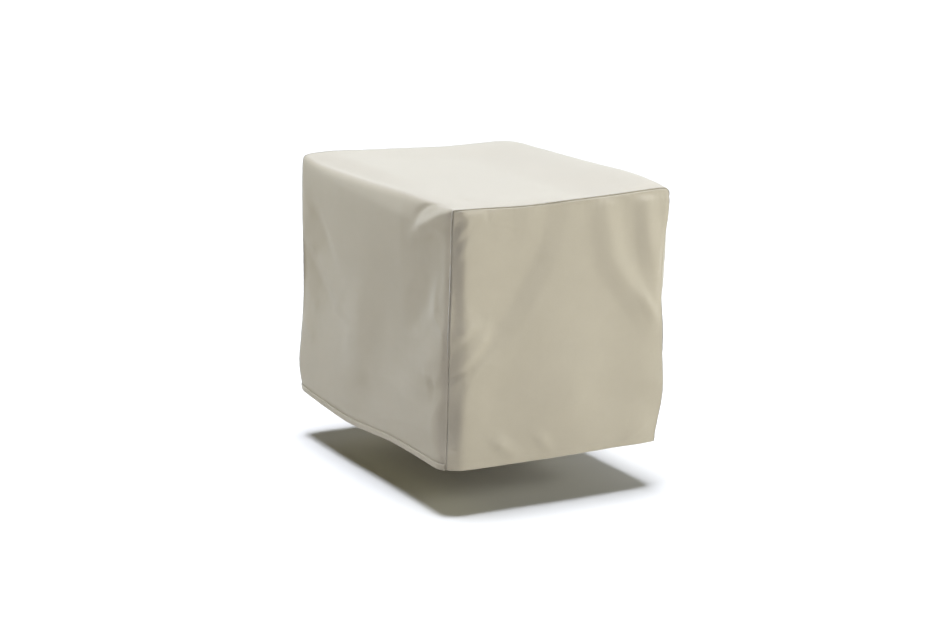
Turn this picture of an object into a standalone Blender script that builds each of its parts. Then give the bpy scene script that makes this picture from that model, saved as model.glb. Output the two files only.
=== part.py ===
"""Fitted cover for a small rectangular side table, hanging empty with its hem open below.

Three cut pieces of coated woven cloth, in metres, +Z up:
  body_strip   one length that falls down the left side, crosses the top and falls down the right side
  front_panel  the piece sewn into the strip's front edge (-Y)
  back_panel   the piece sewn into the strip's back edge (+Y)
Each piece turns inward at its seams to a sewing allowance, and is doubled at the hem.
The origin is under the middle of the top, on the inner face of the cloth.
"""
import math
from collections import namedtuple

import bpy
import numpy as np

MM = 0.001

# Whole cover
WIDTH = 0.455
LENGTH = 0.600
DROP = 0.476
CLOTH = 0.001

# Seams
SEAM_GAP = 0.0004
SEAM_BEND = 0.0015
ALLOWANCE = 0.007
ALLOWANCE_TRIMMED = 0.0005
TRIM_AT_CORNER = (0.006, 0.022)
TRIM_AT_HEM = (0.014, 0.030)
BEND_STEPS = 2
PROBE = 0.003

# Hem
HEM_DEEP = 0.012
HEM_STEP = 0.001
HEM_THICK = 0.0022

# Shape of the seams, folds and edges
INSET_SOFT = 0.35
FOLD_START = 0.007
CREST_SOFT = 0.30
FOOT_SOFT = 0.25
EDGE_RISE_LEFT = 0.070
EDGE_RISE_RIGHT = 0.200
EDGE_RISE_DROP = 0.070
TOP_SEAM_LEAN = 0.002
TOP_SEAM_RUN = 0.014

COLOUR = (0.56, 0.54, 0.47, 1.0)
ROUGHNESS = 0.85

Fold = namedtuple("Fold", "soft_a soft_b line")
Corner = namedtuple("Corner", "down x_in y_in x_run y_run")
Point = namedtuple("Point", "place amount")

# Where each upright seam stands, inward of the square corner, and how far its slope runs (mm)
FRONT_LEFT = (
    Corner(0, 1, 5, 12, 14),
    Corner(32, 4, 12, 24, 18),
    Corner(75, 5, 13, 19, 15),
    Corner(140, 5, 13, 18, 14),
    Corner(190, 4, 12, 21, 12),
    Corner(228, 3, 11, 24, 10),
    Corner(255, 4, 12, 26, 14),
    Corner(290, 6, 15, 23, 14),
    Corner(308, 7, 16, 28, 16),
    Corner(340, 6, 14, 20, 12),
    Corner(384, 9, 19, 17, 17),
    Corner(419, 8, 17, 18, 16),
    Corner(450, 5, 13, 22, 12),
    Corner(476, 5, 13, 22, 12),
)
FRONT_RIGHT = (
    Corner(0, -2, 2, 14, 16),
    Corner(42, -1, 2, 9, 12),
    Corner(80, 4, 3, 10, 9),
    Corner(145, 8, 4, 12, 8),
    Corner(200, 6, 4, 16, 10),
    Corner(255, 0, 3, 30, 24),
    Corner(300, -2, 3, 40, 30),
    Corner(390, -5, 1, 50, 40),
    Corner(430, -1, 6, 40, 40),
    Corner(476, 6, 8, 40, 40),
)
BACK_LEFT = (
    Corner(0, -1, 3, 16, 14),
    Corner(70, 0, 2, 20, 18),
    Corner(200, 2, 7, 26, 24),
    Corner(290, 3, 8, 26, 24),
    Corner(366, 1, 3, 30, 24),
    Corner(421, 0, -2, 34, 24),
    Corner(476, 4, 9, 26, 22),
)
BACK_RIGHT = (
    Corner(0, 2, 5, 16, 16),
    Corner(60, 8, 13, 18, 20),
    Corner(180, 10, 20, 22, 22),
    Corner(300, 7, 14, 24, 24),
    Corner(380, 11, 21, 20, 22),
    Corner(476, 9, 19, 22, 22),
)

# Height of the top seams along the width (mm above the top plane)
FRONT_TOP_RISE = (
    Point(0, -1), Point(60, -2), Point(150, -4), Point(250, 0), Point(332, 3), Point(455, 9),
)
BACK_TOP_RISE = (
    Point(0, 0), Point(60, 2), Point(120, 0), Point(230, -3), Point(340, -6), Point(455, -3),
)

# Height of the cloth along the top's left and right edges, by distance from the front seam (mm)
LEFT_EDGE_RISE = (
    Point(0, 0), Point(120, 0), Point(200, -1), Point(250, -3), Point(320, -6), Point(400, -8),
    Point(490, -9), Point(550, -7), Point(600, 0),
)
RIGHT_EDGE_RISE = (
    Point(0, 0), Point(25, 12), Point(60, 18), Point(120, 22), Point(200, 21), Point(310, 19),
    Point(450, 15), Point(540, 10), Point(600, 0),
)

# How soft the roll is along the top's left and right edges, by distance from the front seam (mm)
LEFT_ROLL = (
    Point(0, 6), Point(60, 9), Point(160, 10), Point(320, 8), Point(500, 7), Point(600, 9),
)
RIGHT_ROLL = (
    Point(0, 8), Point(80, 14), Point(520, 14), Point(600, 10),
)

# Length of the drop along each side (mm)
FRONT_HEM = (
    Point(0, 476), Point(45, 477), Point(170, 477), Point(266, 476), Point(371, 475), Point(455, 477),
)
BACK_HEM = (
    Point(0, 471), Point(110, 475), Point(240, 479), Point(350, 477), Point(455, 474),
)
LEFT_HEM = (
    Point(0, 476), Point(107, 473), Point(195, 473), Point(300, 480), Point(370, 483),
    Point(482, 479), Point(554, 474), Point(600, 471),
)
RIGHT_HEM = (
    Point(0, 477), Point(120, 481), Point(270, 478), Point(410, 480), Point(520, 476), Point(600, 474),
)

# Folds: how soft the flank on each side of the line is, then its line from place to place, each with
# its place across and down the face and its height there (mm). A line that runs down has its first
# flank toward the start of the face, and one that runs across has it below.
FRONT_FOLDS = (
    Fold(28, 95, ((32, 24, 2.4), (26, 80, 3), (28, 150, 3), (40, 205, 2))),
    Fold(110, 36, ((190, 10, -3.6), (184, 60, -5), (166, 103, -6.4), (128, 168, -7.2), (95, 215, -6.4),
                   (72, 250, -3.6), (60, 274, -0.8))),
    Fold(70, 36, ((270, 5, -2.2), (274, 40, -2.4), (282, 75, -2.4), (290, 125, -2), (314, 170, -2.4),
                  (350, 205, -2.4), (388, 245, -1))),
    Fold(28, 28, ((312, 12, 1.8), (322, 60, 2.4), (330, 113, 3), (352, 147, 3.6), (380, 182, 3.6),
                  (405, 214, 3), (424, 238, 1))),
    Fold(28, 30, ((352, 8, -2), (360, 50, -2.6), (376, 100, -2.8), (392, 132, -2), (412, 165, -1))),
    Fold(26, 26, ((402, 18, 3), (409, 60, 4), (414, 95, 3.8), (424, 140, 1.8))),
    Fold(26, 24, ((74, 206, 1), (64, 240, 3.4), (40, 268, 4), (14, 290, 2))),
    Fold(26, 46, ((100, 260, 1), (60, 292, 3), (38, 330, 3), (32, 390, 1.6), (34, 440, 1))),
    Fold(60, 90, ((118, 310, -2.4), (94, 350, -3), (74, 395, -1.6))),
    Fold(100, 60, ((232, 260, 1), (246, 320, 5), (258, 380, 6), (276, 420, 3))),
    Fold(60, 60, ((330, 300, -1), (345, 380, -1.6), (360, 420, -0.8))),
    Fold(24, 26, ((90, 424, 0.5), (110, 440, 3), (138, 460, 1))),
)
LEFT_FOLDS = (
    Fold(220, 240, ((350, 60, 4), (350, 420, 4))),
    Fold(26, 24, ((6, 6, 3.4), (36, 17, 5.6), (68, 33, 6), (102, 50, 4.8), (130, 70, 1.4))),
    Fold(34, 130, ((590, 20, 0.6), (500, 25, 2.4), (420, 29, 4.2), (340, 32, 4.8), (250, 39, 6.4),
                   (170, 46, 7.4), (115, 46, 3))),
    Fold(30, 80, ((572, 74, -0.4), (548, 94, -2.4), (526, 116, -5.4), (496, 150, -7.4), (468, 178, -4.8),
                  (440, 204, -2), (410, 226, -0.4))),
    Fold(30, 80, ((600, 160, -0.4), (582, 190, -3.4), (558, 214, -6.6), (526, 240, -9), (490, 262, -7.6),
                  (452, 282, -4.2), (412, 298, -1.8), (378, 308, -0.4))),
    Fold(80, 60, ((340, 190, 0.6), (336, 240, 3), (333, 300, 4.2), (330, 365, 4.2), (332, 410, 0.6))),
    Fold(110, 90, ((170, 110, -1), (200, 160, -2.6), (224, 220, -3.2), (250, 290, -3))),
    Fold(60, 60, ((268, 260, -1), (285, 310, -2), (296, 370, -2.6), (305, 420, -2))),
    Fold(36, 44, ((30, 80, -1.6), (46, 125, -3.6), (82, 178, -5), (118, 214, -4.4), (156, 246, -1.4))),
    Fold(26, 30, ((40, 122, 0.8), (50, 168, 2.2), (46, 200, 2.8), (12, 224, 3))),
    Fold(46, 40, ((6, 246, 2), (36, 276, 4), (80, 312, 3.6), (130, 348, 1.8), (160, 372, 0.4))),
    Fold(28, 190, ((24, 340, 0.6), (30, 366, 3.6), (34, 392, 6), (33, 418, 6.6), (30, 450, 5.4))),
)
RIGHT_FOLDS = (
    Fold(22, 30, ((12, 50, 4), (13, 110, 6), (14, 175, 5), (15, 200, 2))),
    Fold(40, 44, ((60, 40, -5), (170, 190, -4))),
    Fold(60, 50, ((150, 60, 3), (240, 260, 5))),
    Fold(40, 50, ((430, 70, -5), (340, 230, -2))),
    Fold(50, 40, ((520, 120, 4), (420, 330, 2))),
    Fold(60, 60, ((60, 350, 5), (200, 400, 2.5))),
    Fold(40, 50, ((300, 440, -4), (360, 330, -1))),
    Fold(30, 40, ((560, 440, 3), (500, 360, 1))),
)
BACK_FOLDS = (
    Fold(36, 40, ((70, 30, -5), (120, 150, -4))),
    Fold(50, 60, ((170, 40, 4), (130, 260, 3))),
    Fold(34, 40, ((400, 40, -5), (330, 190, -3))),
    Fold(50, 50, ((300, 60, 3.5), (380, 300, 4.5))),
    Fold(18, 24, ((40, 300, 3.5), (110, 250, 0.8))),
    Fold(70, 60, ((230, 330, -4), (200, 440, -2.5))),
    Fold(20, 24, ((410, 450, -3), (360, 400, -0.5))),
)
TOP_FOLDS = (
    Fold(110, 120, ((110, 90, 2), (300, 200, 3))),
    Fold(90, 90, ((180, 480, -2), (330, 420, -2.5))),
)

# Where the rows and columns of the faceted cloth stand (mm)
DOWN_ROWS = (4, 9, 17, 30, 52, 84, 124, 164, 204, 244, 284, 324, 362, 400, 436)
TOP_COLUMNS = (4, 9, 17, 34, 62, 100, 142, 185)
STRIP_ROWS = (9, 20, 38, 66, 105, 150, 200, 255)


def soft_ramp(value, soft):
    """Zero on the low side and the value itself on the high side, rounded between."""
    return 0.5 * (value + np.sqrt(value * value + soft * soft))


def soft_ramp_slope(value, soft):
    return 0.5 * (1.0 + value / np.sqrt(value * value + soft * soft))


def fade(share):
    """One at the seam, falling straight to nothing at a share of one, with a soft foot."""
    return soft_ramp(1.0 - share, INSET_SOFT) / soft_ramp(1.0, INSET_SOFT)


def smooth_step(value, low, high):
    share = np.clip((value - low) / (high - low), 0.0, 1.0)
    return share * share * (3.0 - 2.0 * share)


def curve(place, knots, values):
    """A smooth curve through the given values."""
    knots = np.asarray(knots, float)
    values = np.asarray(values, float)
    slopes = np.gradient(values, knots)
    index = np.clip(np.searchsorted(knots, place) - 1, 0, len(knots) - 2)
    step = knots[index + 1] - knots[index]
    t = np.clip((place - knots[index]) / step, 0.0, 1.0)
    rise = values[index] * (2 * t ** 3 - 3 * t ** 2 + 1) + values[index + 1] * (3 * t ** 2 - 2 * t ** 3)
    lean = slopes[index] * (t ** 3 - 2 * t ** 2 + t) + slopes[index + 1] * (t ** 3 - t ** 2)
    return rise + lean * step


def corner_value(table, column, down):
    """One column of a corner table at the given depths, in metres."""
    depths = [row.down * MM for row in table]
    return curve(down, depths, [getattr(row, column) * MM for row in table])


def point_value(table, place):
    return curve(place, [row.place * MM for row in table], [row.amount * MM for row in table])


def tent(share):
    """The section of a fold in stiff cloth: one at its crest, straight flanks that reach nothing at a
    share of one, and a small round at crest and foot."""
    slope = np.sqrt(share * share + CREST_SOFT * CREST_SOFT) - CREST_SOFT
    return soft_ramp(1.0 - slope, FOOT_SOFT) / soft_ramp(1.0, FOOT_SOFT)


def fold_height(across, down, folds):
    """Outward height of a face: each fold is a ridge or trough along a line, its height at the nearest
    place on the line times the tent of distance over softness. The softness turns evenly from one
    flank's to the other's with the angle between the line and the way to that place."""
    total = np.zeros(np.broadcast(across, down).shape)
    for fold in folds:
        line = np.array(fold.line) * MM
        nearest = np.full_like(total, np.inf)
        high = np.zeros_like(total)
        side = np.zeros_like(total)
        for first, last in zip(line[:-1], line[1:]):
            run_x, run_y, run_high = last - first
            long = math.hypot(run_x, run_y)
            from_x, from_y = across - first[0], down - first[1]
            along = np.clip((from_x * run_x + from_y * run_y) / long ** 2, 0.0, 1.0)
            off_x, off_y = from_x - along * run_x, from_y - along * run_y
            distance = np.hypot(off_x, off_y)
            closer = distance < nearest
            nearest = np.where(closer, distance, nearest)
            high = np.where(closer, first[2] + run_high * along, high)
            turned = (run_x * off_y - run_y * off_x) / (long * np.maximum(distance, MM * MM))
            side = np.where(closer, turned, side)
        soft = 0.5 * ((fold.soft_a + fold.soft_b) + (fold.soft_a - fold.soft_b) * side) * MM
        total = total + high * tent(nearest / soft)
    return total


def fold_window(distance):
    return 1.0 - np.exp(-(np.maximum(distance, 0.0) / FOLD_START) ** 2)


class Side:
    """One end of the cover, front or back: which way it faces, its corners, seam line, hem and folds."""

    def __init__(self, facing, left, right, rise, hem, folds):
        self.facing = facing
        self.left = left
        self.right = right
        self.rise = rise
        self.hem = hem
        self.folds = folds

    def y_at(self, x, z):
        """The panel as a field of y over x and z."""
        down = np.maximum(-z, 0.0)
        across = x + WIDTH / 2
        from_left = across - corner_value(self.left, "x_in", down)
        from_right = WIDTH - across - corner_value(self.right, "x_in", down)
        left_share = from_left / corner_value(self.left, "x_run", down)
        right_share = from_right / corner_value(self.right, "x_run", down)
        inset = corner_value(self.left, "y_in", down) * fade(left_share)
        inset = inset + corner_value(self.right, "y_in", down) * fade(right_share)
        inset = inset + TOP_SEAM_LEAN * fade(down / TOP_SEAM_RUN)
        window = fold_window(from_left) * fold_window(from_right) * fold_window(down)
        inset = inset - fold_height(across, down, self.folds) * window
        return self.facing * (LENGTH / 2 - inset)


FRONT = Side(-1.0, FRONT_LEFT, FRONT_RIGHT, FRONT_TOP_RISE, FRONT_HEM, FRONT_FOLDS)
BACK = Side(1.0, BACK_LEFT, BACK_RIGHT, BACK_TOP_RISE, BACK_HEM, BACK_FOLDS)


def strip_path(place, far):
    """The strip's section: up the left side, over the top and down the right, with both rolls."""
    roll_left = point_value(LEFT_ROLL, far)
    roll_right = point_value(RIGHT_ROLL, far)
    beyond = place - WIDTH
    x = soft_ramp(place, roll_left) - soft_ramp(beyond, roll_right) - WIDTH / 2
    z = -soft_ramp(-place, roll_left) - soft_ramp(beyond, roll_right)
    dx = soft_ramp_slope(place, roll_left) - soft_ramp_slope(beyond, roll_right)
    dz = soft_ramp_slope(-place, roll_left) - soft_ramp_slope(beyond, roll_right)
    size = np.hypot(dx, dz)
    return x, z, -dz / size, dx / size


def drop_extra(place, far):
    """How much longer than the plain drop the strip hangs, growing toward each hem."""
    left_extra = (point_value(LEFT_HEM, far) - DROP) * np.clip(-place / DROP, 0.0, 1.0) ** 3
    right_extra = (point_value(RIGHT_HEM, far) - DROP) * np.clip((place - WIDTH) / DROP, 0.0, 1.0) ** 3
    return left_extra + right_extra


def seam_inset(side, place):
    """How far the strip's edge is drawn in, and over what run, at one end of the cover."""
    left_down = np.clip(-place, 0.0, DROP)
    right_down = np.clip(place - WIDTH, 0.0, DROP)
    on_top = np.clip(place, 0.0, WIDTH)
    to_top_left = smooth_step(place, -0.012, 0.012)
    to_right = smooth_step(place, WIDTH - 0.012, WIDTH + 0.012)
    left = corner_value(side.left, "x_in", left_down)
    right = corner_value(side.right, "x_in", right_down)
    top = -point_value(side.rise, on_top)
    inset = left * (1 - to_top_left) + top * to_top_left * (1 - to_right) + right * to_right
    left_run = corner_value(side.left, "y_run", left_down)
    right_run = corner_value(side.right, "y_run", right_down)
    top_run = 2 * TOP_SEAM_RUN
    run = left_run * (1 - to_top_left) + top_run * to_top_left * (1 - to_right) + right_run * to_right
    return inset, run


def seam_line(side, place):
    """The seam between the strip and one panel."""
    far = np.zeros_like(place) if side is FRONT else np.full_like(place, LENGTH)
    x, z, normal_x, normal_z = strip_path(place, far)
    inset, _ = seam_inset(side, place)
    x = x - normal_x * inset
    z = z - normal_z * inset - drop_extra(place, far)
    return np.stack([x, side.y_at(x, z), z], axis=-1)


def edge_share(inside, top_run):
    """How much of an edge's rise the cloth takes: all at the edge, less over the top and the drop."""
    return smooth_step(inside, -EDGE_RISE_DROP, 0.0) * smooth_step(-inside, -top_run, 0.0)


def strip_surface(place, far):
    """The strip's outer face, by place along its section and distance from the front seam."""
    x, z, normal_x, normal_z = strip_path(place, far)
    front_inset, front_run = seam_inset(FRONT, place)
    back_inset, back_run = seam_inset(BACK, place)
    inset = front_inset * fade(far / front_run) + back_inset * fade((LENGTH - far) / back_run)
    window = fold_window(far) * fold_window(LENGTH - far)
    high = fold_height(far, -place, LEFT_FOLDS) * smooth_step(-place, -0.020, 0.012)
    high = high + fold_height(far, place - WIDTH, RIGHT_FOLDS) * smooth_step(place - WIDTH, -0.01, 0.03)
    on_top = smooth_step(place, -0.02, 0.03) * smooth_step(WIDTH - place, -0.02, 0.03)
    high = high + fold_height(place, far, TOP_FOLDS) * on_top
    inset = inset - high * window
    front_y = seam_line(FRONT, place)[..., 1]
    back_y = seam_line(BACK, place)[..., 1]
    share = far / LENGTH
    x = x - normal_x * inset
    rise = point_value(LEFT_EDGE_RISE, far) * edge_share(place, EDGE_RISE_LEFT)
    rise = rise + point_value(RIGHT_EDGE_RISE, far) * edge_share(WIDTH - place, EDGE_RISE_RIGHT)
    z = z - normal_z * inset - drop_extra(place, far) + rise
    return np.stack([x, front_y * (1 - share) + back_y * share, z], axis=-1)


def unit(vectors):
    return vectors / np.linalg.norm(vectors, axis=-1, keepdims=True)


def across_seam(directions, tangents):
    """The part of a direction that stands square to the seam."""
    along = np.sum(directions * tangents, axis=-1, keepdims=True)
    return unit(directions - along * tangents)


class Seam:
    """The seam's line, its two sheets' directions and the plane in which their allowances lie."""

    def __init__(self, side, place):
        self.side = side
        self.place = place
        self.line = seam_line(side, place)
        step = 0.001
        self.tangent = unit(seam_line(side, place + step) - seam_line(side, place - step))
        far = PROBE if side is FRONT else LENGTH - PROBE
        strip_probe = strip_surface(place, np.full_like(place, far))
        self.strip_away = across_seam(strip_probe - self.line, self.tangent)
        inward_x = self.tangent[..., 2]
        inward_z = -self.tangent[..., 0]
        probe_x = self.line[..., 0] + inward_x * PROBE
        probe_z = self.line[..., 2] + inward_z * PROBE
        panel_probe = np.stack([probe_x, side.y_at(probe_x, probe_z), probe_z], axis=-1)
        self.panel_away = across_seam(panel_probe - self.line, self.tangent)
        self.inward = -unit(self._outward(self.strip_away) + self._outward(self.panel_away))
        toward_strip = np.cross(self.tangent, self.inward)
        sign = np.sign(np.sum(toward_strip * self.strip_away, axis=-1, keepdims=True))
        self.toward_strip = unit(toward_strip * sign)

    def _outward(self, away):
        """The outer normal of a sheet that leaves the seam in the given direction."""
        normal = np.cross(self.tangent, away)
        middle = np.array((0.0, 0.0, -DROP / 2))
        sign = np.sign(np.sum(normal * (self.line - middle), axis=-1, keepdims=True))
        return unit(normal) * sign

    def turned_rows(self, away, toward):
        """Rows of one sheet from the start of its bend to the cut edge of its allowance."""
        corner = self.line + toward * SEAM_GAP / 2
        turn = np.arccos(np.clip(np.sum(-away * self.inward, axis=-1), -1.0, 1.0))[..., None]
        setback = SEAM_BEND * np.tan(turn / 2)
        centre = corner + unit(away + self.inward) * SEAM_BEND / np.cos(turn / 2)
        start = corner + away * setback
        end = corner + self.inward * setback
        rows = [start]
        for step in range(1, BEND_STEPS):
            share = step / BEND_STEPS
            spoke = np.sin((1 - share) * turn) * (start - centre) + np.sin(share * turn) * (end - centre)
            rows.append(centre + spoke / np.sin(turn))
        rows.append(end)
        rows.append(end + self.inward * allowance_width(self.place)[..., None])
        return rows


def allowance_width(place):
    """The allowance is clipped back at the top corners and at the hem."""
    from_corner = np.minimum(np.abs(place), np.abs(place - WIDTH))
    from_hem = np.minimum(place + DROP, WIDTH + DROP - place)
    full = smooth_step(from_corner, *TRIM_AT_CORNER) * smooth_step(from_hem, *TRIM_AT_HEM)
    return ALLOWANCE_TRIMMED + (ALLOWANCE - ALLOWANCE_TRIMMED) * full


def hem_rows():
    return DROP - HEM_DEEP - HEM_STEP, DROP - HEM_DEEP, DROP


def down_places():
    """Depths of the rows below a top corner, from the corner to the hem."""
    return np.array([0.0, *(row * MM for row in DOWN_ROWS), *hem_rows()])


def top_places():
    """Places of the columns across the top, from corner to corner."""
    half = [column * MM for column in TOP_COLUMNS]
    other = [WIDTH - column for column in reversed(half)]
    return np.array([0.0, *half, WIDTH / 2, *other, WIDTH])


def section_places():
    """Places along the whole section of the strip, hem to hem."""
    down = down_places()
    return np.concatenate([-down[:0:-1], top_places(), WIDTH + down[1:]])


def grid_faces(rows, columns):
    """Four-cornered faces of a grid of vertices numbered row by row."""
    faces = []
    for row in range(rows - 1):
        for column in range(columns - 1):
            first = row * columns + column
            faces.append((first, first + 1, first + columns + 1, first + columns))
    return faces


def turn_in(vertices, faces, edge, rows, forward):
    """Adds the turned-in rows along an edge, in triangles that match those of the sheet sewn to it."""
    previous = list(edge)
    for row in rows:
        first = len(vertices)
        current = list(range(first, first + len(row)))
        for index in range(len(row) - 1):
            near, beyond = previous[index], current[index + 1]
            pair = [(near, current[index], beyond), (near, beyond, previous[index + 1])]
            faces += [face[::-1] for face in pair] if forward else pair
        vertices = np.vstack([vertices, row])
        previous = current
    return vertices


def strip_mesh():
    """Vertices, faces and hem weights of the strip with both its edges turned in."""
    place = section_places()
    front = Seam(FRONT, place)
    back = Seam(BACK, place)
    front_rows = front.turned_rows(front.strip_away, front.toward_strip)
    back_rows = back.turned_rows(back.strip_away, back.toward_strip)
    near = [row * MM for row in STRIP_ROWS]
    distances = [*near, LENGTH / 2, *(LENGTH - row for row in reversed(near))]
    middle = [strip_surface(place, np.full_like(place, far)) for far in distances]
    grid = np.array([front_rows[0], *middle, back_rows[0]])
    rows, columns = grid.shape[:2]
    weights = np.zeros((rows, columns))
    weights[1:-1, [0, 1, -2, -1]] = 1.0
    vertices = grid.reshape(-1, 3)
    faces = grid_faces(rows, columns)
    vertices = turn_in(vertices, faces, range(columns), front_rows[1:], False)
    last = (rows - 1) * columns
    vertices = turn_in(vertices, faces, range(last, last + columns), back_rows[1:], True)
    return vertices, faces, np.flatnonzero(weights)


def panel_grid(side, edge):
    """The panel's inner grid, spread between its three seams and its hem."""
    down = down_places()
    top = top_places()
    last = len(down) - 1
    left = edge[last::-1]
    head = edge[last:last + len(top)]
    right = edge[last + len(top) - 1:]
    share = (top / WIDTH)[None, :, None]
    depth = (down / DROP)[:, None, None]
    foot = left[-1] * (1 - share[0]) + right[-1] * share[0]
    foot[:, 2] = -point_value(side.hem, foot[:, 0] + WIDTH / 2)
    foot[0], foot[-1] = left[-1], right[-1]
    sides = left[:, None] * (1 - share) + right[:, None] * share
    ends = head[None] * (1 - depth) + foot[None] * depth
    corners = (1 - depth) * (head[0] * (1 - share) + head[-1] * share)
    corners = corners + depth * (foot[0] * (1 - share) + foot[-1] * share)
    grid = sides + ends - corners
    inner = grid[1:, 1:-1]
    inner[..., 1] = side.y_at(inner[..., 0], inner[..., 2])
    return grid


def panel_mesh(side):
    """Vertices, faces and hem weights of one panel with its three sewn edges turned in."""
    seam = Seam(side, section_places())
    turned = seam.turned_rows(seam.panel_away, -seam.toward_strip)
    grid = panel_grid(side, turned[0])
    rows, columns = grid.shape[:2]
    weights = np.zeros((rows, columns))
    weights[-2:, 1:-1] = 1.0
    vertices = grid.reshape(-1, 3)
    faces = grid_faces(rows, columns)
    left = [row * columns for row in range(rows - 1, 0, -1)]
    right = [row * columns + columns - 1 for row in range(1, rows)]
    vertices = turn_in(vertices, faces, [*left, *range(columns), *right], turned[1:], False)
    if side is FRONT:
        faces = [face[::-1] for face in faces]
    return vertices, faces, np.flatnonzero(weights)


def origin_lift():
    """How far all is raised so that the inner face lies at zero under the middle of the top."""
    middle = strip_surface(np.array([WIDTH / 2]), np.array([LENGTH / 2]))
    return CLOTH - middle[0, 2]


def cloth_material():
    material = bpy.data.materials.new("cover_cloth")
    material.use_nodes = True
    shader = material.node_tree.nodes["Principled BSDF"]
    shader.inputs["Base Color"].default_value = COLOUR
    shader.inputs["Roughness"].default_value = ROUGHNESS
    return material


def cloth_object(name, vertices, faces, doubled, collection):
    """A sheet of cloth from its outer face, thickened inward and doubled at the hem."""
    mesh = bpy.data.meshes.new(name)
    raised = np.asarray(vertices) + np.array((0.0, 0.0, origin_lift()))
    mesh.from_pydata(raised.tolist(), [], faces)
    mesh.materials.append(cloth_material())
    sheet = bpy.data.objects.new(name, mesh)
    collection.objects.link(sheet)
    group = sheet.vertex_groups.new(name="hem")
    group.add([int(index) for index in doubled], 1.0, "REPLACE")
    shell = sheet.modifiers.new("cloth thickness", "SOLIDIFY")
    shell.thickness = HEM_THICK
    shell.offset = -1.0
    shell.use_even_offset = True
    shell.vertex_group = group.name
    shell.thickness_vertex_group = CLOTH / HEM_THICK
    for polygon in mesh.polygons:
        polygon.use_smooth = True
    return sheet


def clear_scene():
    for item in list(bpy.data.objects):
        bpy.data.objects.remove(item, do_unlink=True)


def build():
    clear_scene()
    parts = bpy.data.collections.new("side_table_cover")
    bpy.context.scene.collection.children.link(parts)
    cloth_object("body_strip", *strip_mesh(), parts)
    cloth_object("front_panel", *panel_mesh(FRONT), parts)
    cloth_object("back_panel", *panel_mesh(BACK), parts)


build()
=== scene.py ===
"""Side table cover of coated woven cloth, hanging as it does over its table, with its stage.

The strip is a surface of place along its section and distance from the front, and a panel one of
width and depth. Lengths are in metres, +Z up, and the tables are in millimetres.
"""
import math
from collections import namedtuple

import bpy
import numpy as np
from mathutils import Matrix, Vector


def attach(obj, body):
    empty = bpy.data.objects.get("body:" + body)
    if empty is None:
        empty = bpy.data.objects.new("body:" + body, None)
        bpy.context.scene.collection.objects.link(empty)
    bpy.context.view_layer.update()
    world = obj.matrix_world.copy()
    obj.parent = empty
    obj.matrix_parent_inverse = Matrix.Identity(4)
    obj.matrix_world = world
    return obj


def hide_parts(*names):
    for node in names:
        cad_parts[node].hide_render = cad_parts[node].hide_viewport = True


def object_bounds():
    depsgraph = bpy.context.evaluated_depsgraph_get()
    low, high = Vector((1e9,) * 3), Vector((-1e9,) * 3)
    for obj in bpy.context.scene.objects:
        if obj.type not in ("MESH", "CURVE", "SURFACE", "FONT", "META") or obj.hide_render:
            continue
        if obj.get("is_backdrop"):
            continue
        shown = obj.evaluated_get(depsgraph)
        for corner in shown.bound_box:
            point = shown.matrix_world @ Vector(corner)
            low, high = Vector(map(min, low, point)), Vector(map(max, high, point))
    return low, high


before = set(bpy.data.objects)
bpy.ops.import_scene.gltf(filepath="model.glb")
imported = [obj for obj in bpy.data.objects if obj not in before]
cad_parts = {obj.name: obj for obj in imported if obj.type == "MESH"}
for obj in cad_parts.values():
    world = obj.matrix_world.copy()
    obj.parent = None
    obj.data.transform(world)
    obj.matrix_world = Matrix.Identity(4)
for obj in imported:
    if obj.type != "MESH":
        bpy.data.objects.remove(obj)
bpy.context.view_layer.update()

bl_info = {
    "name": "Side Table Cover",
    "version": (1, 0, 0),
    "blender": (4, 5, 0),
    "location": "3D View > Sidebar > Cover",
    "description": "Builds a fitted cloth cover for a small side table, piece by piece",
    "category": "Add Mesh",
}

MM = 0.001
BODY = "root"

# Columns of a corner's table
DOWN, X_IN, Y_IN, X_RUN, Y_RUN = range(5)
# One end of the cover: which way it faces, its corners, the rise of its top seam, its hem and folds
Side = namedtuple("Side", "facing left right rise hem folds")
# A lamp: its kind, its colour, the way to it from the cover, and its breadth (degrees or metres)
Lamp = namedtuple("Lamp", "kind colour way wide")

# Each upright seam, by depth: how far it stands inward of the square corner and how far its slope
# runs, in the columns above (mm)
FRONT_LEFT = (
    (0, 1, 5, 12, 14), (32, 4, 12, 24, 18), (75, 5, 13, 19, 15), (140, 5, 13, 18, 14),
    (190, 4, 12, 21, 12), (228, 3, 11, 24, 10), (255, 4, 12, 26, 14), (290, 6, 15, 23, 14),
    (308, 7, 16, 28, 16), (340, 6, 14, 20, 12), (384, 9, 19, 17, 17), (419, 8, 17, 18, 16),
    (450, 5, 13, 22, 12), (476, 5, 13, 22, 12),
)
FRONT_RIGHT = (
    (0, -2, 2, 14, 16), (42, -1, 2, 9, 12), (80, 4, 3, 10, 9), (145, 8, 4, 12, 8), (200, 6, 4, 16, 10),
    (255, 0, 3, 30, 24), (300, -2, 3, 40, 30), (390, -5, 1, 50, 40), (430, -1, 6, 40, 40),
    (476, 6, 8, 40, 40),
)
BACK_LEFT = (
    (0, -1, 3, 16, 14), (70, 0, 2, 20, 18), (200, 2, 7, 26, 24), (290, 3, 8, 26, 24),
    (366, 1, 3, 30, 24), (421, 0, -2, 34, 24), (476, 4, 9, 26, 22),
)
BACK_RIGHT = (
    (0, 2, 5, 16, 16), (60, 8, 13, 18, 20), (180, 10, 20, 22, 22), (300, 7, 14, 24, 24),
    (380, 11, 21, 20, 22), (476, 9, 19, 22, 22),
)

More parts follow.
